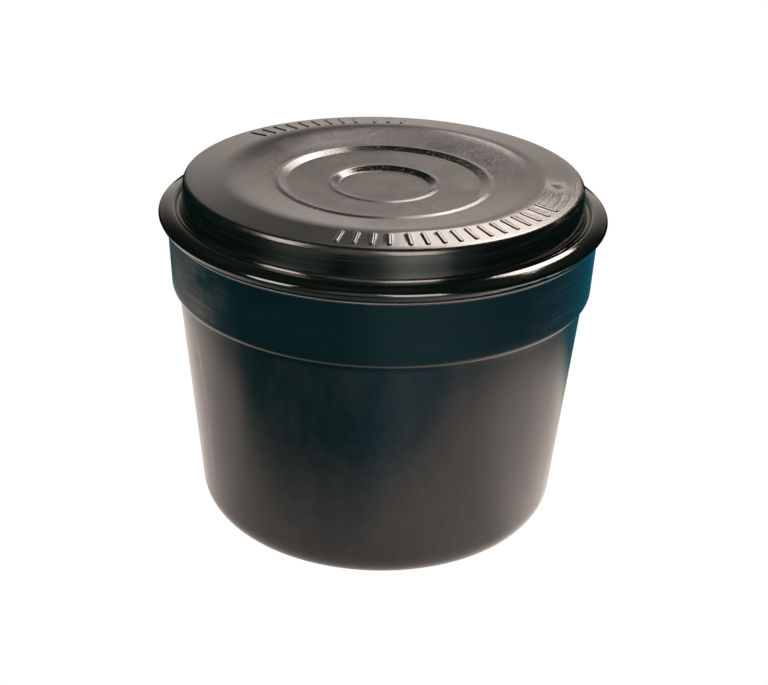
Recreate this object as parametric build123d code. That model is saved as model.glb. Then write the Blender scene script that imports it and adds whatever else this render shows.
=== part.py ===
from build123d import *
import math
import os

# Round, black, rotationally moulded polyethylene tub with a loose lift-off lid.
# Frame: millimetres, Z up, origin at the centre of the underside of the base.

# ------------------------------------------------------------------ driving dimensions
WALL = 5.0                 # moulded wall of both pieces
SEAT_GAP = 0.3             # between the lid's underside and the rim it rests on
LID_RADIUS = 320.0         # outermost edge of the lid flange, the widest part

# tub, outside
BASE_RADIUS = 260.4        # body wall carried down to the base plane
BASE_CORNER = 48.0         # large radius between body wall and base
BODY_TOP_RADIUS = 294.2    # body wall where it meets the underside of the ledge
BODY_TOP = 354.3
COLLAR_FOOT_RADIUS = 303.2  # lower corner of the collar, well rounded
COLLAR_FOOT = 356.4
RIM_RADIUS = 310.3         # bead round the mouth
RIM_BEAD_FOOT = 452.5
RIM_TOP = 467.1
RIM_STAND_OUT = 2.2        # how far the bead stands out from the collar

# lid, outside; heights are from the base plane
DISC_RADIUS = 65.6
DISC_TOP = 499.4
INNER_BEAD_RADIUS = 75.0   # the step up from the disc ends in a low bead
INNER_BEAD_TOP = 505.0
INNER_FLAT_RADIUS = 81.5
INNER_FLAT_TOP = 503.9
RING_RADIUS = 139.0
RING_TOP = 505.4
OUTER_BEAD_RADIUS = 150.5  # so does the step up from the ring
OUTER_BEAD_TOP = 510.3
OUTER_FLAT_RADIUS = 157.5
OUTER_FLAT_TOP = 508.9
CREST_RADIUS = 224.0
CREST_TOP = 520.3          # corner of the two cones; the crest itself is rounded
SHOULDER_RADIUS = 284.6
SHOULDER_TOP = 514.8
WALL_FOOT_RADIUS = 288.2
BEAD_FOOT_RADIUS = 293.5   # gutter floor ends here and the domed edge bead begins
BEAD_RADIUS = 298.0        # corner of the bead's two slopes; its top is rounded
BEAD_PROUD = 5.2           # that corner above the gutter floor
BEAD_BREAK_RADIUS = 307.0  # the outer slope grows slightly steeper here
BEAD_BREAK_PROUD = 2.2
NOSE_TOP = 469.8           # corner between the outer slope and the outermost edge
NOSE_RADIUS = 5.0
LIP_RADIUS = 317.2         # foot of the turned-down lip, outside
LIP_CLEARANCE = 1.0        # lip to rim bead, on the radius
LIP_FOOT = 459.5

# raised ribs on the lid's sloping band
RIB_INNER, RIB_OUTER = 235.0, 269.0
RIB_WIDTH = 5.5
RIB_PROUD = 1.3
RIB_GROUPS = (             # first angle, last angle, number of ribs
    (-103.0, -88.0, 4),
    (-82.0, -29.0, 12),
    (101.0, 139.0, 9),
    (84.0, 94.0, 3),
)

FLANGE_TOP = RIM_TOP + SEAT_GAP + WALL


# ------------------------------------------------------------------ outline helpers
def parallel(points, wall):
    """The same corners moved in by the wall, so that each run stays parallel to its own."""
    runs = []
    for (r0, z0), (r1, z1) in zip(points, points[1:]):
        length = math.hypot(r1 - r0, z1 - z0)
        nr, nz = -(z1 - z0) / length, (r1 - r0) / length
        runs.append((nr, nz, nr * r0 + nz * z0 + wall))
    first, last = runs[0], runs[-1]
    inside = [(points[0][0] + first[0] * wall, points[0][1] + first[1] * wall)]
    for (a0, b0, c0), (a1, b1, c1) in zip(runs, runs[1:]):
        det = a0 * b1 - a1 * b0
        inside.append(((c0 * b1 - c1 * b0) / det, (a0 * c1 - a1 * c0) / det))
    inside.append((points[-1][0] + last[0] * wall, points[-1][1] + last[1] * wall))
    return inside


def parallel_radii(points, radii, wall):
    """Corner radii of the parallel outline: smaller where the outline turns to that side."""
    changed = []
    for (r0, z0), (r1, z1), (r2, z2), radius in zip(points, points[1:], points[2:], radii):
        turn = (r1 - r0) * (z2 - z1) - (z1 - z0) * (r2 - r1)
        changed.append(max(1.0, radius - wall * math.copysign(1, turn)))
    return changed


def revolved(outline, radii):
    """One solid of revolution from an outline that starts and ends on the axis."""
    with BuildPart() as part:
        with BuildSketch(Plane.XZ):
            with BuildLine():
                FilletPolyline(*outline, radius=radii)
                Line(outline[-1], outline[0])
            make_face()
        revolve(axis=Axis.Z)
    return part.part


# ------------------------------------------------------------------ the two pieces
def tub_shell():
    """Open tub: flat base, tapered body, outward ledge, collar and a beaded rim."""
    collar_top_radius = RIM_RADIUS - RIM_STAND_OUT
    skin = [
        (0.0, 0.0),
        (BASE_RADIUS, 0.0),
        (BODY_TOP_RADIUS, BODY_TOP),
        (COLLAR_FOOT_RADIUS, COLLAR_FOOT),
        (collar_top_radius, RIM_TOP),
    ]
    skin_radii = [BASE_CORNER, 0.4, 10.5]
    inside = parallel(skin, WALL)
    inside_radii = parallel_radii(skin, skin_radii, WALL)
    inside[-1] = (inside[-1][0], RIM_TOP)
    bead = [
        (collar_top_radius - 0.5, RIM_BEAD_FOOT - 3.0),
        (RIM_RADIUS, RIM_BEAD_FOOT),
        (RIM_RADIUS, RIM_TOP),
    ]
    outline = skin[:-1] + bead + inside[::-1]
    radii = skin_radii + [1.5, 1.0, 1.5, 1.5] + inside_radii[::-1]
    return revolved(outline, radii)


def lid_skin():
    """Lid without its ribs: stepped dish, crest, steep wall, gutter, domed edge bead and lip.

    The wall is even except at the edge, where the bead is solid over a flat underside.
    """
    skin = [
        (0.0, DISC_TOP),
        (DISC_RADIUS, DISC_TOP),
        (INNER_BEAD_RADIUS, INNER_BEAD_TOP),
        (INNER_FLAT_RADIUS, INNER_FLAT_TOP),
        (RING_RADIUS, RING_TOP),
        (OUTER_BEAD_RADIUS, OUTER_BEAD_TOP),
        (OUTER_FLAT_RADIUS, OUTER_FLAT_TOP),
        (CREST_RADIUS, CREST_TOP),
        (SHOULDER_RADIUS, SHOULDER_TOP),
        (WALL_FOOT_RADIUS, FLANGE_TOP),
        (LID_RADIUS, FLANGE_TOP),
    ]
    skin_radii = [5.0, 3.0, 6.0, 5.0, 3.0, 6.0, 70.0, 9.0, 4.5]
    inside = parallel(skin, -WALL)
    inside_radii = parallel_radii(skin, skin_radii, -WALL)
    lip_inner = RIM_RADIUS + LIP_CLEARANCE
    inside[-1] = (lip_inner, FLANGE_TOP - WALL)
    bead = [
        (BEAD_FOOT_RADIUS, FLANGE_TOP),
        (BEAD_RADIUS, FLANGE_TOP + BEAD_PROUD),
        (BEAD_BREAK_RADIUS, FLANGE_TOP + BEAD_BREAK_PROUD),
        (LID_RADIUS, NOSE_TOP),
    ]
    lip = [
        (LID_RADIUS, LIP_FOOT + 6.0),
        (LIP_RADIUS, LIP_FOOT),
        (lip_inner, LIP_FOOT),
    ]
    outline = skin[:-1] + bead + lip + inside[::-1]
    edge_radii = [1.0, 5.0, 20.0, NOSE_RADIUS, 2.5, 1.2, 0.5, 1.0]
    radii = skin_radii + edge_radii + inside_radii[::-1]
    return revolved(outline, radii)


def rib(angle):
    """One raised rib, round-ended and radial, standing off the band between crest and shoulder."""
    slope = math.atan2(SHOULDER_TOP - CREST_TOP, SHOULDER_RADIUS - CREST_RADIUS)
    middle = (RIB_INNER + RIB_OUTER) / 2
    height = CREST_TOP + (middle - CREST_RADIUS) * math.tan(slope)
    turn = math.radians(angle)
    along = Vector(math.cos(turn) * math.cos(slope), math.sin(turn) * math.cos(slope), math.sin(slope))
    up = Vector(-math.cos(turn) * math.sin(slope), -math.sin(turn) * math.sin(slope), math.cos(slope))
    place = Plane(
        origin=(middle * math.cos(turn), middle * math.sin(turn), height),
        x_dir=along,
        z_dir=up,
    )
    with BuildPart() as part:
        with BuildSketch(place.offset(-WALL / 2)):
            SlotOverall(RIB_OUTER - RIB_INNER, RIB_WIDTH)
        extrude(amount=WALL / 2 + RIB_PROUD)
    return part.part


def rib_angles():
    """Where the ribs stand: evenly spaced in each group."""
    angles = []
    for first, last, count in RIB_GROUPS:
        step = (last - first) / (count - 1)
        angles += [first + step * i for i in range(count)]
    return angles


def lid_shell():
    """The whole loose lid, with its ribs joined to the sloping band."""
    return lid_skin().fuse(*[rib(angle) for angle in rib_angles()])


# ------------------------------------------------------------------ files, one per piece
os.makedirs("parts", exist_ok=True)
export_step(tub_shell(), "parts/tub_shell.step")
export_step(lid_shell(), "parts/lid_shell.step")
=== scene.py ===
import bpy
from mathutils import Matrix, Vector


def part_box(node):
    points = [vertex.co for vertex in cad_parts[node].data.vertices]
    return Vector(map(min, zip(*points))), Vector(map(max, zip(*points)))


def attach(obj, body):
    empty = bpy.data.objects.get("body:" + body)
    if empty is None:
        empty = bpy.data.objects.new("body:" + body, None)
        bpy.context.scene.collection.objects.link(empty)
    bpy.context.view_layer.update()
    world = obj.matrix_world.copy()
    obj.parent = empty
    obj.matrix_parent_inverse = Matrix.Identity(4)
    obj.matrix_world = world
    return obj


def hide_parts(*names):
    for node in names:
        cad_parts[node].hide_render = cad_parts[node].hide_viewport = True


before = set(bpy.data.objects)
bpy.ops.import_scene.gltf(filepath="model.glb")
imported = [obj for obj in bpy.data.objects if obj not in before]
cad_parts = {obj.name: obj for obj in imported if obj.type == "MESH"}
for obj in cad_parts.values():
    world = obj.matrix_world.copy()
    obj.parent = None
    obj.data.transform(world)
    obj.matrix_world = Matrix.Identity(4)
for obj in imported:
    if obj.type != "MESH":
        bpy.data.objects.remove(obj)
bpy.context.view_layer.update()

import math

import bpy
import numpy as np
from mathutils import Matrix, Quaternion, Vector

# Round, black, rotationally moulded polyethylene tub with a loose lift-off lid, in metres.

# ---------------------------------------------------------------- sizes that the frame gives
lid_low, lid_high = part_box("lid_shell")
tub_low, tub_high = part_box("tub_shell")
LID_RADIUS = (lid_high[0] - lid_low[0]) / 2
RIM_RADIUS = (tub_high[0] - tub_low[0]) / 2
RIM_TOP = tub_high[2]
LIP_FOOT = lid_low[2]

# ---------------------------------------------------------------- sizes of both pieces
WALL = 0.005
SEAT_GAP = 0.0003                        # between the lid's underside and the rim it rests on
FLANGE_TOP = RIM_TOP + SEAT_GAP + WALL   # floor of the gutter round the lid

# tub, outside: radius and height of its corners
BASE_RADIUS = 0.2604
BASE_CORNER = 0.048
BODY_TOP = (0.2942, 0.3543)
COLLAR_FOOT = (0.3032, 0.3564)
RIM_BEAD_FOOT = RIM_TOP - 0.0146
RIM_STAND_OUT = 0.0022                   # how far the rim bead stands out from the collar

# lid, outside: radius and height of its corners
DISC_RADIUS, DISC_TOP = 0.0656, 0.4994
INNER_BEAD, INNER_FLAT = (0.0750, 0.5050), (0.0815, 0.5039)
RING = (0.139, 0.5054)
OUTER_BEAD, OUTER_FLAT = (0.1505, 0.5103), (0.1575, 0.5089)
CREST = (0.224, 0.5203)                  # where its two cones would meet; the crest is rounded
SHOULDER = (0.2846, 0.5148)
WALL_FOOT_RADIUS = 0.2882

# the lid's edge bead, with heights above the gutter floor, and the lip turned down from it
BEAD_FOOT_RADIUS = 0.2935
BEAD_RADIUS, BEAD_PROUD = 0.2980, 0.0052
BEAD_BREAK_RADIUS, BEAD_BREAK_PROUD = 0.3070, 0.0021
NOSE_PROUD = -0.0032
NOSE_RADIUS = 0.0044
LIP_TAPER = 0.0028
LIP_TAPER_HEIGHT = 0.006
LIP_CLEARANCE = 0.001                    # lip to rim bead, on the radius

# raised ribs on the lid's sloping band: first angle, last angle and number in each group
RIB_INNER, RIB_OUTER = 0.235, 0.269
RIB_WIDTH = 0.0055
RIB_PROUD = 0.0013
RIB_SOFT = 0.0007
RIB_GROUPS = ((-103.0, -88.0, 4), (-82.0, -29.0, 12), (101.0, 139.0, 9), (84.0, 94.0, 3))

# what the moulding and its trimming leave uneven
OVAL, THREE_LOBED, SADDLE = 0.0007, 0.0003, 0.0005
WARP_RADIUS, WARP_HEIGHT = 0.3, 0.5      # where the warp has those sizes
FLASH_INSET, FLASH_FINE, FLASH_COARSE = 0.0003, 0.0003, 0.0004
LIP_RISE = 0.00221                       # of the lip's foot where it is trimmed worst
LIP_ROUGH_FINE, LIP_ROUGH_COARSE = 0.0011, 0.0008
RAGGED_MIDDLE, RAGGED_REACH = math.radians(-40), math.radians(32)
RAGGED_LEAST = 0.15                      # share of the roughness that the rest of the lip has
AT_FOOT = 0.0016                         # mesh lines this near the foot of an edge belong to it

# mesh lines round each piece, before the lid's ribs add theirs
TUB_SPOKES = 480
LID_SPOKES = 280


# ---------------------------------------------------------------- outlines
def parallel(points, wall):
    """The same corners moved sideways by the wall, so that each run stays parallel to its own."""
    runs = []
    for (r0, z0), (r1, z1) in zip(points, points[1:]):
        length = math.hypot(r1 - r0, z1 - z0)
        nr, nz = -(z1 - z0) / length, (r1 - r0) / length
        runs.append((nr, nz, nr * r0 + nz * z0 + wall))
    first, last = runs[0], runs[-1]
    moved = [(points[0][0] + first[0] * wall, points[0][1] + first[1] * wall)]
    for (a0, b0, c0), (a1, b1, c1) in zip(runs, runs[1:]):
        det = a0 * b1 - a1 * b0
        moved.append(((c0 * b1 - c1 * b0) / det, (a0 * c1 - a1 * c0) / det))
    moved.append((points[-1][0] + last[0] * wall, points[-1][1] + last[1] * wall))
    return moved


def parallel_radii(points, radii, wall):
    """Corner radii of the parallel outline: smaller where the outline turns to that side."""
    changed = []
    for (r0, z0), (r1, z1), (r2, z2), radius in zip(points, points[1:], points[2:], radii):
        turn = (r1 - r0) * (z2 - z1) - (z1 - z0) * (r2 - r1)
        changed.append(max(0.001, radius - wall * math.copysign(1, turn)))
    return changed


def rounded(points, radii, run_step, arc_step):
    """The outline with an arc at each corner and its straight runs divided, as (r, z) rows.

    No straight step is longer than run_step, and no step of an arc turns by more than arc_step.
    """
    corners = [Vector(p) for p in points]
    row = [corners[0]]
    for before, corner, after, radius in zip(corners, corners[1:], corners[2:], radii):
        into, out = (corner - before).normalized(), (after - corner).normalized()
        turn = into.angle_signed(out)
        cut = radius * math.tan(abs(turn) / 2)
        start = corner - into * cut
        side = Vector((into.y, -into.x)) * math.copysign(1, turn)
        centre = start + side * radius
        count = max(2, math.ceil(abs(turn) / arc_step))
        arm = start - centre
        for i in range(count + 1):
            row.append(centre + Matrix.Rotation(-turn * i / count, 2) @ arm)
    row.append(corners[-1])
    divided = [row[0]]
    for a, b in zip(row, row[1:]):
        count = max(1, math.ceil((b - a).length / run_step))
        divided += [a.lerp(b, (i + 1) / count) for i in range(count)]
    return np.array([tuple(p) for p in divided])


def tub_outline():
    """Outside of the tub from the base centre up to the rim, then its inside back down."""
    collar_top = RIM_RADIUS - RIM_STAND_OUT
    skin = [(0.0, 0.0), (BASE_RADIUS, 0.0), BODY_TOP, COLLAR_FOOT, (collar_top, RIM_TOP)]
    skin_radii = [BASE_CORNER, 0.0004, 0.0105]
    inside = parallel(skin, WALL)
    inside_radii = parallel_radii(skin, skin_radii, WALL)
    inside[-1] = (inside[-1][0], RIM_TOP)
    bead = [
        (collar_top - 0.0005, RIM_BEAD_FOOT - 0.003), (RIM_RADIUS, RIM_BEAD_FOOT),
        (RIM_RADIUS, RIM_TOP),
    ]
    bead_radii = [0.0015, 0.001, 0.0015, 0.0015]
    outline = skin[:-1] + bead + inside[::-1]
    radii = skin_radii + bead_radii + inside_radii[::-1]
    return rounded(outline, radii, run_step=0.012, arc_step=math.radians(8))


def lid_outline():
    """Outside of the lid from its centre to the foot of its lip, then its inside back."""
    skin = [
        (0.0, DISC_TOP), (DISC_RADIUS, DISC_TOP), INNER_BEAD, INNER_FLAT, RING, OUTER_BEAD,
        OUTER_FLAT, CREST, SHOULDER, (WALL_FOOT_RADIUS, FLANGE_TOP), (LID_RADIUS, FLANGE_TOP),
    ]
    skin_radii = [0.005, 0.003, 0.006, 0.005, 0.003, 0.006, 0.070, 0.009, 0.0045]
    inside = parallel(skin, -WALL)
    inside_radii = parallel_radii(skin, skin_radii, -WALL)
    lip_inner = RIM_RADIUS + LIP_CLEARANCE
    inside[-1] = (lip_inner, FLANGE_TOP - WALL)
    bead = [
        (BEAD_FOOT_RADIUS, FLANGE_TOP), (BEAD_RADIUS, FLANGE_TOP + BEAD_PROUD),
        (BEAD_BREAK_RADIUS, FLANGE_TOP + BEAD_BREAK_PROUD), (LID_RADIUS, FLANGE_TOP + NOSE_PROUD),
    ]
    lip = [
        (LID_RADIUS, LIP_FOOT + LIP_TAPER_HEIGHT), (LID_RADIUS - LIP_TAPER, LIP_FOOT),
        (lip_inner, LIP_FOOT),
    ]
    outline = skin[:-1] + bead + lip + inside[::-1]
    edge_radii = [0.001, 0.005, 0.020, NOSE_RADIUS, 0.0025, 0.0012, 0.0005, 0.001]
    radii = skin_radii + edge_radii + inside_radii[::-1]
    return rounded(outline, radii, run_step=0.015, arc_step=math.radians(10.5))


# ---------------------------------------------------------------- meshes
def rib_angles():
    """Where the ribs stand, in radians: evenly spaced in each group."""
    angles = []
    for first, last, count in RIB_GROUPS:
        angles += list(np.radians(np.linspace(first, last, count)))
    return angles


def rib_height(r, angle):
    """How far the ribs lift the band at these radii and angles."""
    half = RIB_WIDTH / 2
    height = np.zeros_like(r)
    for centre in rib_angles():
        turn = (angle - centre + math.pi) % (2 * math.pi) - math.pi
        along = np.clip(r, RIB_INNER + half, RIB_OUTER - half)
        away = np.hypot(r - along, turn * r)
        rise = np.clip((half + RIB_SOFT - away) / (2 * RIB_SOFT), 0, 1)
        height = np.maximum(height, RIB_PROUD * rise * rise * (3 - 2 * rise))
    return height


def lid_spokes():
    """Angles of the lid's mesh lines: even, with more of them at the edges of each rib."""
    even = np.linspace(-math.pi, math.pi, LID_SPOKES, endpoint=False)
    spokes = set(np.round(even, 5))
    middle = (RIB_INNER + RIB_OUTER) / 2
    edge = RIB_WIDTH / 2 + RIB_SOFT * np.array((-1.5, -0.6, 0.1, 0.8, 1.6))
    offsets = np.concatenate((edge, -edge)) / middle
    clear = offsets.max() + 0.004
    for centre in rib_angles():
        near = [a for a in spokes if abs(a - centre) < clear]
        spokes -= set(near)
        spokes |= set(np.round(centre + offsets, 5))
    return np.array(sorted(spokes))


def refine_band(outline):
    """Adds rows to the lid's outline where the round ends of the ribs lie."""
    least = 0.0003                       # between one row and the next
    steps = RIB_WIDTH / 2 * np.array((-0.3, 0.0, 0.15, 0.4, 0.8, 1.3))
    ends = [*(RIB_INNER + steps), *(RIB_OUTER - steps)]
    outermost = int(np.argmax(outline[:, 0]))
    rows = [outline[0]]
    for i, (a, b) in enumerate(zip(outline, outline[1:])):
        if i < outermost and b[0] > a[0]:
            inside = sorted(r for r in ends if a[0] + least < r < b[0] - least)
            rows += [a + (b - a) * (r - a[0]) / (b[0] - a[0]) for r in inside]
        rows.append(b)
    return np.array(rows)


def warp(points):
    """Slight ovality and waviness that the cooling moulding takes on; the same on both pieces."""
    angle = np.arctan2(points[:, 1], points[:, 0])
    radius = np.hypot(points[:, 0], points[:, 1])
    pull = OVAL * np.cos(2 * angle + 0.6) + THREE_LOBED * np.cos(3 * angle - 1.1)
    scale = 1 + pull / WARP_RADIUS
    lift = SADDLE * (radius / WARP_RADIUS) ** 2 * np.cos(2 * angle - 0.4)
    bent = points.copy()
    bent[:, 0] *= scale
    bent[:, 1] *= scale
    bent[:, 2] += lift * (points[:, 2] / WARP_HEIGHT)
    return bent


def wander(angle, knots, seed):
    """Smooth random values between -1 and 1 round the circle."""
    values = np.random.default_rng(seed).uniform(-1, 1, knots)
    place = (angle + math.pi) / (2 * math.pi) * knots
    return np.interp(place, np.arange(knots + 1), [*values, values[0]])


def add_object(name, data):
    """A new object in the scene."""
    made = bpy.data.objects.new(name, data)
    bpy.context.collection.objects.link(made)
    return made


def revolve(name, outline, spokes, change):
    """A closed mesh of revolution whose outline starts and ends on the axis, then changed and warped."""
    rows = outline[1:-1]
    grid_r, grid_a = np.meshgrid(rows[:, 0], spokes, indexing="ij")
    grid_z = np.repeat(rows[:, 1:2], len(spokes), axis=1)
    grid_r, grid_z = change(grid_r, grid_a, grid_z)
    ring = np.stack((grid_r * np.cos(grid_a), grid_r * np.sin(grid_a), grid_z), axis=-1)
    poles = np.array([(0, 0, outline[0][1]), (0, 0, outline[-1][1])])
    points = warp(np.concatenate((ring.reshape(-1, 3), poles)))
    count, around = len(rows), len(spokes)
    first, last = count * around, count * around + 1
    faces = []
    for j in range(around):
        k = (j + 1) % around
        faces.append((first, k, j))
        faces.append((last, (count - 1) * around + j, (count - 1) * around + k))
    for i in range(count - 1):
        a, b = i * around, (i + 1) * around
        faces += [(a + j, a + (j + 1) % around, b + (j + 1) % around, b + j) for j in range(around)]
    if outline[0][1] > outline[-1][1]:   # it starts on the upper side, so it runs the other way
        faces = [face[::-1] for face in faces]
    mesh = bpy.data.meshes.new(name)
    mesh.from_pydata(points.tolist(), [], faces)
    mesh.update()
    mesh.shade_smooth()
    mesh.set_sharp_from_angle(angle=math.radians(50))
    return add_object(name, mesh)


def make_tub():
    """The tub; the foot of its rim bead carries a little uneven flash."""
    spokes = np.linspace(-math.pi, math.pi, TUB_SPOKES, endpoint=False)

    def flash(r, angle, z):
        at_foot = (abs(z - RIM_BEAD_FOOT) < AT_FOOT) & (r > RIM_RADIUS - 0.0015)
        uneven = FLASH_FINE * wander(angle, knots=300, seed=11)
        uneven += FLASH_COARSE * wander(angle, knots=40, seed=12)
        return r - FLASH_INSET * at_foot, z + at_foot * uneven

    return revolve("tub", tub_outline(), spokes, flash)


def make_lid():
    """The lid with its raised ribs and the rough trimmed foot of its lip."""
    outline = refine_band(lid_outline())
    upper = int(np.argmax(outline[:, 0])) - 1    # so many rows lie on the upper side

    def shape(r, angle, z):
        changed = z.copy()
        changed[:upper] += rib_height(r[:upper], angle[:upper])
        at_foot = z < LIP_FOOT + AT_FOOT
        rough = LIP_ROUGH_FINE * np.clip(wander(angle, knots=220, seed=5), 0, 1)
        rough += LIP_ROUGH_COARSE * np.clip(wander(angle, knots=60, seed=6), 0, 1)
        ragged = np.clip(1.3 - abs(angle - RAGGED_MIDDLE) / RAGGED_REACH, RAGGED_LEAST, 1)
        rise = LIP_RISE * (ragged - RAGGED_LEAST) / (1 - RAGGED_LEAST)
        return r, changed + at_foot * ragged * (rise + rough)

    return revolve("lid", outline, lid_spokes(), shape)


# ---------------------------------------------------------------- materials
class Nodes:
    """Short names for the shader nodes of one material or world."""

    def __init__(self, owner):
        owner.use_nodes = True
        self.tree = owner.node_tree
        self.tree.nodes.clear()

    def add(self, kind, values=None, **settings):
        """A node whose inputs are set to values or linked to other nodes."""
        node = self.tree.nodes.new(kind)
        for key, value in settings.items():
            setattr(node, key, value)
        for key, value in (values or {}).items():
            if isinstance(value, bpy.types.NodeSocket):
                self.tree.links.new(value, node.inputs[key])
            else:
                node.inputs[key].default_value = value
        return node

    # ---- numbers
    def math(self, operation, a, b=0.0):
        return self.add("ShaderNodeMath", {0: a, 1: b}, operation=operation).outputs[0]

    def product(self, *values):
        result = values[0]
        for value in values[1:]:
            result = self.math("MULTIPLY", result, value)
        return result

    def total(self, *values):
        result = values[0]
        for value in values[1:]:
            result = self.math("ADD", result, value)
        return result

    def span(self, value, low, high, to_low=0.0, to_high=1.0, kind="LINEAR"):
        """The value taken from one range to another and held at its ends."""
        node = self.add("ShaderNodeMapRange", {
            "Value": value, "From Min": low, "From Max": high, "To Min": to_low, "To Max": to_high},
            interpolation_type=kind)
        return node.outputs["Result"]

    def smooth(self, value, low, high, to_low=0.0, to_high=1.0):
        """The same, leaving and reaching its ends gently."""
        return self.span(value, low, high, to_low, to_high, "SMOOTHSTEP")

    def near(self, value, centre, half, soft):
        """One within half of the centre, falling to nothing over the soft edge."""
        gap = self.math("ABSOLUTE", self.math("SUBTRACT", value, centre))
        return self.smooth(gap, half + soft, half)

    def facing(self, bearing, centre, half, soft):
        """The same for a bearing, with the limits in degrees."""
        return self.near(bearing, math.radians(centre), math.radians(half), math.radians(soft))

    # ---- places
    def parts(self, vector):
        return self.add("ShaderNodeSeparateXYZ", {0: vector}).outputs[:3]

    def polar(self, vector):
        """Distance from the axis, bearing from the front towards +X, and height."""
        x, y, z = self.parts(vector)
        radius = self.math("SQRT", self.total(self.product(x, x), self.product(y, y)))
        return radius, self.math("ARCTAN2", x, self.product(y, -1.0)), z

    def stretch(self, vector, scale):
        return self.add("ShaderNodeMapping", {"Vector": vector, "Scale": scale}).outputs["Vector"]

    def hoops(self, vector, across, along):
        """Coordinates that are long round the axis and short across it, for streaks."""
        x, y, z = self.parts(vector)
        radius, _, _ = self.polar(vector)
        return self.add("ShaderNodeCombineXYZ", {
            0: self.product(self.total(radius, z), across),
            1: self.product(self.math("DIVIDE", x, radius), along),
            2: self.product(self.math("DIVIDE", y, radius), along)}).outputs[0]

    # ---- patterns and colours
    def noise(self, vector, scale, detail=3.0, roughness=0.5):
        node = self.add("ShaderNodeTexNoise", {
            "Vector": vector, "Scale": scale, "Detail": detail, "Roughness": roughness})
        return node.outputs["Fac"]

    def ramp(self, value, stops):
        """A grey for each value, eased between stops of place and grey."""
        node = self.add("ShaderNodeValToRGB", {"Fac": value})
        node.color_ramp.interpolation = "EASE"
        elements = node.color_ramp.elements
        while len(elements) > 1:
            elements.remove(elements[0])
        for i, (place, grey) in enumerate(stops):
            element = elements[0] if i == 0 else elements.new(place)
            element.position = place
            element.color = (grey, grey, grey, 1)
        return node.outputs["Color"]

    def blend(self, factor, a, b):
        node = self.add("ShaderNodeMix", {"Factor": factor, "A": a, "B": b}, data_type="RGBA")
        return node.outputs["Result"]

    def glow(self, colour, strength):
        node = self.add("ShaderNodeEmission", {"Color": colour, "Strength": strength})
        return node.outputs[0]

    def finish(self, surface, kind="ShaderNodeOutputMaterial"):
        self.add(kind, {"Surface": surface})


TUB_BLACK = (0.0014, 0.0034, 0.0042, 1)
LID_BLACK = (0.0008, 0.0028, 0.0022, 1)
# the pale that marks blend towards: wear, and in places a painted highlight
WEAR_AND_HIGHLIGHT_PALE = (0.92, 0.80, 0.74, 1)
SCAR_PLACE = (0.2430, -0.0350, 0.518)    # on the sloping band, at the right


def plastic(name, colour, marks, smooth, rough):
    """Satin black polyethylene: gloss in clouds from smooth to rough, fine peel, and one piece's marks.

    The marks give how scuffed, how whitened (by wear, and in places by a painted highlight), how raised
    and how glossy each place is.
    """
    material = bpy.data.materials.new(name)
    n = Nodes(material)
    where = n.add("ShaderNodeTexCoord").outputs["Object"]
    cloud = n.noise(where, 9.0, detail=5.0, roughness=0.6)
    peel = n.noise(where, 420.0, detail=2.0)
    grain = n.noise(where, 900.0, detail=2.0, roughness=0.7)
    scuff, pale, dent, gloss = marks(n, where)
    roughness = n.total(
        n.span(cloud, 0.3, 0.7, smooth, rough), n.product(scuff, 0.14), n.product(gloss, -0.065))
    tint = n.total(n.product(scuff, n.span(grain, 0.35, 0.65, 0.010, 0.035)), n.product(pale, 0.22))
    worn_and_highlit = n.blend(n.math("MINIMUM", tint, 1.0), colour, WEAR_AND_HIGHLIGHT_PALE)
    height = n.total(n.product(peel, 0.3), dent)
    bump = n.add("ShaderNodeBump", {"Strength": 0.35, "Distance": 0.0004, "Height": height})
    shader = n.add("ShaderNodeBsdfPrincipled", {
        "Base Color": worn_and_highlit, "Roughness": roughness, "Normal": bump.outputs[0], "IOR": 1.52})
    n.finish(shader.outputs[0])
    return material


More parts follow.
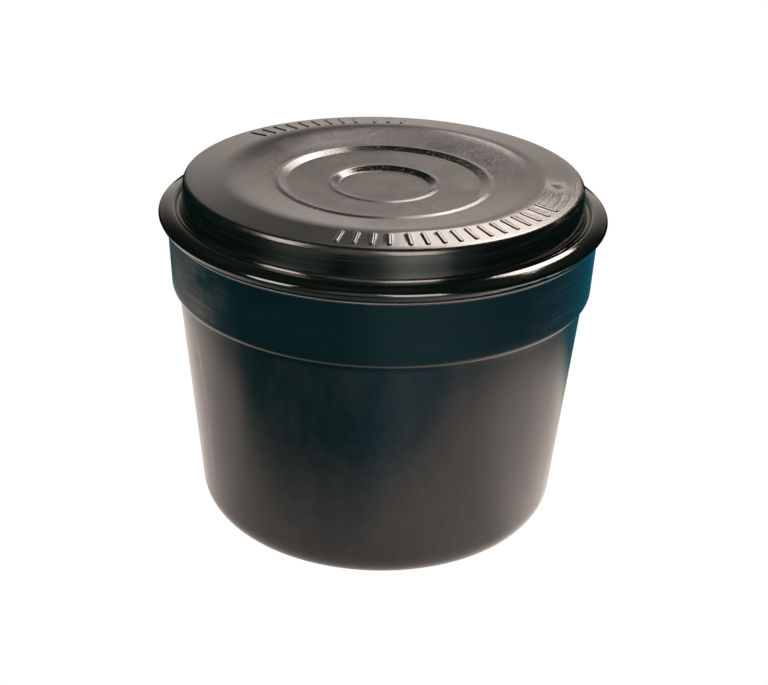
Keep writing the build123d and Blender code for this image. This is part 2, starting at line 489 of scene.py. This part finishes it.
def lid_marks(n, where):
    """Grainy dust on the panel, hoop scuffs on the band and wall, a scar, a whitened trimmed edge,
    painted highlight in the band's streaks.
    """
    radius, bearing, z = n.polar(where)
    hoop = n.noise(n.hoops(where, 900.0, 5.0), 1.0, detail=4.0, roughness=0.65)
    long_hoop = n.noise(n.hoops(where, 330.0, 2.5), 1.0, detail=3.0)
    dust = n.noise(where, 650.0, detail=3.0, roughness=0.8)
    drift = n.noise(where, 16.0, detail=4.0, roughness=0.6)
    push = n.add("ShaderNodeTexNoise", {"Vector": where, "Scale": 60.0}).outputs["Color"]
    warped = n.add("ShaderNodeVectorMath", {0: where, 1: push}, operation="ADD").outputs[0]
    scratches = n.noise(n.stretch(warped, (90, 26, 60)), 3.0, detail=4.0)

    panel = n.product(n.smooth(radius, 0.225, 0.195), n.smooth(z, 0.485, 0.495))
    speck = n.product(panel, n.span(dust, 0.52, 0.70), n.span(drift, 0.35, 0.65, 0.25, 1.0))
    crumb = n.span(n.noise(where, 300.0, detail=2.0), 0.57, 0.64)
    crumbs = n.product(panel, crumb, n.span(drift, 0.40, 0.58))
    band = n.product(n.smooth(radius, 0.222, 0.232), n.smooth(z, 0.505, 0.512))
    right = n.product(band, n.facing(bearing, 70, 15, 16))
    # scuff streaks on the band at the right; their whitening further down is partly a painted highlight
    scuff_and_highlight_streak = n.product(right, n.span(hoop, 0.46, 0.66))
    fine = n.product(band, n.span(hoop, 0.52, 0.72), 0.35)
    wall = n.product(n.near(z, 0.490, 0.016, 0.006), n.span(long_hoop, 0.50, 0.72), 0.25)
    trimmed = n.facing(bearing, 50, 22, 10)
    edge = n.product(n.smooth(radius, 0.3135, 0.3155), n.smooth(z, 0.4618, 0.4604), trimmed)
    flange = n.smooth(radius, 0.286, 0.291)
    shoulder = n.near(radius, 0.279, 0.004, 0.006)

    from_scar = n.add("ShaderNodeVectorMath", {0: where, 1: SCAR_PLACE}, operation="DISTANCE")
    away = n.total(from_scar.outputs["Value"], n.span(drift, 0.2, 0.8, -0.008, 0.008))
    scar = n.product(n.smooth(away, 0.012, 0.004), n.span(scratches, 0.42, 0.55))
    halo = n.product(n.smooth(away, 0.034, 0.012), n.span(scratches, 0.48, 0.66), band, 0.6)

    scuff = n.total(speck, scuff_and_highlight_streak, fine, wall, n.product(halo, 0.8))
    # whitening; the streaks' share stands in part for a painted highlight of the key light
    pale = n.total(n.product(edge, n.span(dust, 0.40, 0.62), 1.6), n.product(halo, 0.05),
                   n.product(crumbs, 0.30), n.product(scuff_and_highlight_streak, 0.10))
    dent = n.total(n.product(scuff_and_highlight_streak, -0.25), n.product(scar, -3.5), n.product(speck, 0.4),
                   n.product(halo, 0.4))
    return scuff, pale, dent, n.total(flange, n.product(shoulder, -1.2))


def tub_marks(n, where):
    """Hoop scuffs on the collar, soft upright rubs on the body, a few specks, a bead edge whitened by
    flash and a painted highlight.
    """
    radius, bearing, z = n.polar(where)
    hoop = n.noise(n.hoops(where, 620.0, 3.0), 1.0, detail=4.0, roughness=0.65)
    drift = n.noise(where, 14.0, detail=4.0, roughness=0.6)
    upright = n.noise(n.stretch(where, (34, 34, 2.2)), 1.0, detail=3.0, roughness=0.55)
    rub_line = n.noise(n.stretch(where, (20, 20, 3.0)), 1.0, detail=1.0)
    specks = n.noise(where, 240.0, detail=2.0)

    outside = n.near(z, 0.412, 0.036, 0.012)
    left = n.facing(bearing, -72, 14, 20)
    right = n.facing(bearing, 62, 10, 22)
    sides = n.total(n.product(left, 2.2), n.product(right, 0.5))
    collar = n.product(outside, sides, n.span(hoop, 0.42, 0.66), n.span(drift, 0.35, 0.6))
    haze = n.product(outside, left, n.span(drift, 0.32, 0.62), 0.8)
    faint = n.product(outside, n.span(hoop, 0.50, 0.75), 0.16)

    outer = n.smooth(n.math("SUBTRACT", radius, n.product(z, 0.095)), 0.2575, 0.2590)
    body = n.product(n.smooth(z, 0.350, 0.345), outer)
    flank = n.product(body, n.smooth(n.math("ABSOLUTE", bearing), 0.75, 1.15))
    rub = n.product(flank, n.span(upright, 0.48, 0.72), 0.55)
    line = n.product(flank, n.near(rub_line, 0.5, 0.003, 0.008), n.span(drift, 0.50, 0.66), 0.5)
    bend = n.total(n.product(z, -1.1), n.product(z, z, 2.6), n.span(drift, 0.2, 0.8, -0.02, 0.02))
    curve = n.total(bearing, bend)
    arc = n.product(n.near(curve, math.radians(-67), 0.003, 0.014), n.near(z, 0.19, 0.10, 0.05),
                    n.span(drift, 0.30, 0.50))
    blotch = n.noise(n.stretch(where, (1, 1, 0.45)), 11.0, detail=4.0)
    patch = n.product(body, n.span(blotch, 0.44, 0.68))
    # a mottled paler tone on the body that grows towards the bottom
    mottle = n.noise(where, 85.0, detail=5.0, roughness=0.7)
    paler_mottle_low = n.product(body, n.span(mottle, 0.42, 0.66), n.smooth(z, 0.36, 0.12, 0.35, 1.0))
    speck = n.product(n.span(specks, 0.65, 0.72), body, n.smooth(bearing, 0.2, 0.7, 0.3, 1.0))
    # the foot of the rim bead: whitened flash, with a painted highlight line on top
    bead = n.product(
        n.near(z, RIM_BEAD_FOOT - 0.0002, 0.0004, 0.0008), n.smooth(radius, 0.3080, 0.3090))

    scuff = n.total(collar, haze, faint, rub, n.product(line, 0.9), n.product(patch, 0.2),
                    n.product(speck, 0.3))
    # whitening; the bead's share is partly a painted highlight line
    pale = n.total(n.product(bead, n.span(hoop, 0.3, 0.6, 0.5, 1.3)), n.product(collar, 0.06),
                   n.product(haze, 0.05), n.product(line, 0.08), n.product(arc, 0.45),
                   n.product(patch, 0.022), n.product(paler_mottle_low, 0.026), n.product(speck, 0.02))
    dent = n.total(n.product(collar, -0.2), n.product(line, 0.3))
    return scuff, pale, dent, bead


# ---------------------------------------------------------------- the two pieces
tub = make_tub()
tub.data.materials.append(plastic("tub_black", TUB_BLACK, tub_marks, smooth=0.16, rough=0.215))
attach(tub, "tub")
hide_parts("tub_shell")

lid = make_lid()
lid.data.materials.append(plastic("lid_black", LID_BLACK, lid_marks, smooth=0.115, rough=0.165))
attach(lid, "lid")
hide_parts("lid_shell")


# ---------------------------------------------------------------- studio
LIGHT_AIM = Vector((0, 0, 0.5))
LIGHT_DISTANCE = 3.0
LIGHT_COLOUR = (1.0, 0.86, 0.79)
FLOOR_RADIUS = 40.0
SHEEN_HEIGHT = -0.001                    # just under the floor, which the plastic doesn't mirror
BACKDROP_RADIUS = 39.0
BACKDROP_LOW, BACKDROP_HIGH = -12, 90    # degrees above level


def direction(azimuth, elevation):
    """Unit vector; azimuth is from +Y towards +X, in degrees."""
    a, e = math.radians(azimuth), math.radians(elevation)
    return Vector((math.sin(a) * math.cos(e), math.cos(a) * math.cos(e), math.sin(e)))


def hide_from(thing, *rays):
    """The thing takes no part in these kinds of ray."""
    for ray in rays:
        setattr(thing, "visible_" + ray, False)


def softbox(name, azimuth, elevation, wide, high, strength, roll=0.0):
    """A softbox aimed at the lid, given by its direction and its size in degrees."""
    away = direction(azimuth, elevation)
    light = bpy.data.lights.new(name, "AREA")
    light.shape = "RECTANGLE"
    light.size = 2 * LIGHT_DISTANCE * math.tan(math.radians(wide / 2))
    light.size_y = 2 * LIGHT_DISTANCE * math.tan(math.radians(high / 2))
    light.energy = strength * math.pi * light.size * light.size_y
    light.color = LIGHT_COLOUR
    made = add_object(name, light)
    turn = (-away).to_track_quat("-Z", "Y") @ Quaternion((0, 0, 1), math.radians(roll))
    made.rotation_euler = turn.to_euler()
    made.location = LIGHT_AIM + away * LIGHT_DISTANCE
    hide_from(made, "camera")


def flat_disc(name, radius, height):
    """A plain disc that lies flat."""
    sides = 64
    around = [2 * math.pi * i / sides for i in range(sides)]
    corners = [(radius * math.cos(a), radius * math.sin(a), height) for a in around]
    mesh = bpy.data.meshes.new(name)
    mesh.from_pydata(corners, [], [tuple(range(sides))])
    made = add_object(name, mesh)
    return made


def even_white():
    """White that glows evenly, so that no shadow shows on it."""
    material = bpy.data.materials.new("floor_white")
    n = Nodes(material)
    n.finish(n.glow((1.0, 1.0, 1.0, 1), 1.0))
    return material


def make_floor(white):
    """A plain pale floor, far wider than the view, that the plastic neither mirrors nor is lit by."""
    floor = flat_disc("floor", FLOOR_RADIUS, 0.0)
    floor.data.materials.append(white)
    hide_from(floor, "glossy", "diffuse")


def make_backdrop(white):
    """A white shell far behind everything, seen by the camera alone."""
    around, up = 32, 12
    points = []
    for i in range(up + 1):
        elevation = BACKDROP_LOW + (BACKDROP_HIGH - BACKDROP_LOW) * i / up
        points += [direction(360 * j / around, elevation) * BACKDROP_RADIUS for j in range(around)]
    faces = []
    for low in range(0, up * around, around):
        for j in range(around):
            k = (j + 1) % around
            faces.append((low + j, low + k, low + around + k, low + around + j))
    mesh = bpy.data.meshes.new("backdrop")
    mesh.from_pydata(points, [], faces)
    mesh.materials.append(white)
    backdrop = add_object("backdrop", mesh)
    hide_from(backdrop, "glossy", "diffuse", "transmission", "shadow")


def make_sheen():
    """What the plastic mirrors of the studio floor: a bright sheet round the tub, teal dusk beyond.

    Places on the ramps run round the tub: 0 is behind it, 0.25 left, 0.5 in front and 0.75 right.
    """
    sheen = flat_disc("sheen", FLOOR_RADIUS, SHEEN_HEIGHT)
    material = bpy.data.materials.new("sheen")
    n = Nodes(material)
    where = n.add("ShaderNodeTexCoord").outputs["Object"]
    x, _, _ = n.parts(where)
    radius, bearing, _ = n.polar(where)
    turn = n.span(bearing, -math.pi, math.pi)

    brightness = n.ramp(turn, (
        (0.11, 0.62), (0.19, 0.60), (0.28, 0.50), (0.36, 0.40), (0.44, 0.38), (0.50, 0.42),
        (0.56, 0.52), (0.62, 0.62), (0.68, 0.86), (0.73, 0.80), (0.80, 0.68), (0.88, 0.45)))
    sheet = n.glow((1.0, 0.87, 0.79, 1), n.product(brightness, 2.0))
    edge = n.ramp(turn, (
        (0.11, 0.84), (0.22, 0.80), (0.28, 0.68), (0.33, 0.46), (0.39, 0.40), (0.48, 0.39),
        (0.55, 0.50), (0.61, 0.68), (0.72, 0.72), (0.79, 0.67), (0.88, 0.46)))
    on_sheet = n.smooth(n.math("SUBTRACT", radius, edge), 0.18, -0.11)

    flank = n.blend(n.smooth(x, 0.1, 0.6), (0.0, 0.15, 0.19, 1), (0.0, 0.16, 0.25, 1))
    flank = n.blend(n.smooth(radius, 1.0, 0.6), flank, (0.02, 0.145, 0.14, 1))
    front = n.ramp(turn, ((0.30, 0.0), (0.44, 0.10), (0.53, 1.0), (0.58, 0.9), (0.70, 0.10)))
    dusk = n.blend(front, flank, (0.13, 0.38, 0.45, 1))
    dusk = n.glow(n.blend(n.smooth(radius, 1.2, 1.7), dusk, (0.0, 0.015, 0.015, 1)), 1.0)

    far = n.ramp(turn, (
        (0.30, 0.0), (0.37, 0.24), (0.40, 0.16), (0.44, 0.0), (0.49, 0.12), (0.54, 1.0),
        (0.58, 0.65), (0.61, 0.08), (0.66, 0.0)))
    far = n.glow((1.0, 1.0, 0.93, 1), n.product(far, 3.0, n.smooth(radius, 1.5, 3.2)))

    nearby = n.add("ShaderNodeMixShader", {0: on_sheet, 1: dusk, 2: sheet}).outputs[0]
    n.finish(n.add("ShaderNodeAddShader", {0: nearby, 1: far}).outputs[0])
    sheen.data.materials.append(material)
    hide_from(sheen, "camera", "diffuse", "transmission", "shadow")


def make_world():
    """A lit wall low behind the tub, a lit room in front of it, darkness to the sides."""
    world = bpy.data.worlds.new("studio")
    bpy.context.scene.world = world
    n = Nodes(world)
    x, y, z = n.parts(n.add("ShaderNodeTexCoord").outputs["Generated"])
    off_behind = n.math("ABSOLUTE", n.math("ARCTAN2", x, y))
    wall_height = n.product(n.smooth(z, 0.50, 0.28, 0.36, 1.0), n.smooth(z, 0.82, 0.70))
    wall = n.product(n.smooth(off_behind, 0.55, 0.20), wall_height)
    room = n.product(n.smooth(off_behind, 2.3, 2.8), 0.9)
    level = n.total(wall, room, 0.02)
    background = n.add("ShaderNodeBackground", {"Color": (1.0, 0.88, 0.80, 1), "Strength": level})
    n.finish(background.outputs[0], "ShaderNodeOutputWorld")


white = even_white()
make_floor(white)
make_backdrop(white)
make_sheen()
make_world()
softbox("key", azimuth=25, elevation=44, wide=20, high=18, strength=16.0, roll=16)
softbox("key_skirt", azimuth=12.3, elevation=33.5, wide=18, high=14, strength=7.0)
softbox("side", azimuth=-117, elevation=40, wide=18, high=48, strength=12.5, roll=28)
softbox("fill", azimuth=162, elevation=36, wide=25, high=51, strength=10.0)
bpy.context.scene.view_settings.view_transform = "Standard"

# ---------------------------------------------------------------- camera
CAMERA_ELEVATION = math.radians(20.46)
CAMERA_DISTANCE = 7.204 * LID_RADIUS
FOCAL_OVER_WIDTH = 1600 / 768            # focal length over the picture's width
CAMERA_PITCH, CAMERA_YAW, CAMERA_ROLL = math.radians(-4.9), math.radians(0.16), math.radians(1.58)
AIM_HEIGHT = 0.470                       # aimed here before it is pitched and turned


def make_camera():
    """A long lens a little above the lid, tipped down and rolled by a degree and a half."""
    data = bpy.data.cameras.new("camera")
    data.sensor_width = 36.0
    data.lens = FOCAL_OVER_WIDTH * data.sensor_width
    data.clip_start, data.clip_end = 0.05, 100.0
    camera = add_object("camera", data)
    e = CAMERA_ELEVATION
    place = Vector((0, -CAMERA_DISTANCE * math.cos(e), AIM_HEIGHT + CAMERA_DISTANCE * math.sin(e)))
    level = Matrix.Rotation(math.pi / 2 - e, 4, "X")
    tip = Matrix.Rotation(-CAMERA_YAW, 4, "Y") @ Matrix.Rotation(CAMERA_PITCH, 4, "X")
    turn = Matrix.Rotation(CAMERA_ROLL, 4, "Z")
    camera.matrix_world = Matrix.Translation(place) @ level @ tip @ turn
    bpy.context.scene.camera = camera


make_camera()
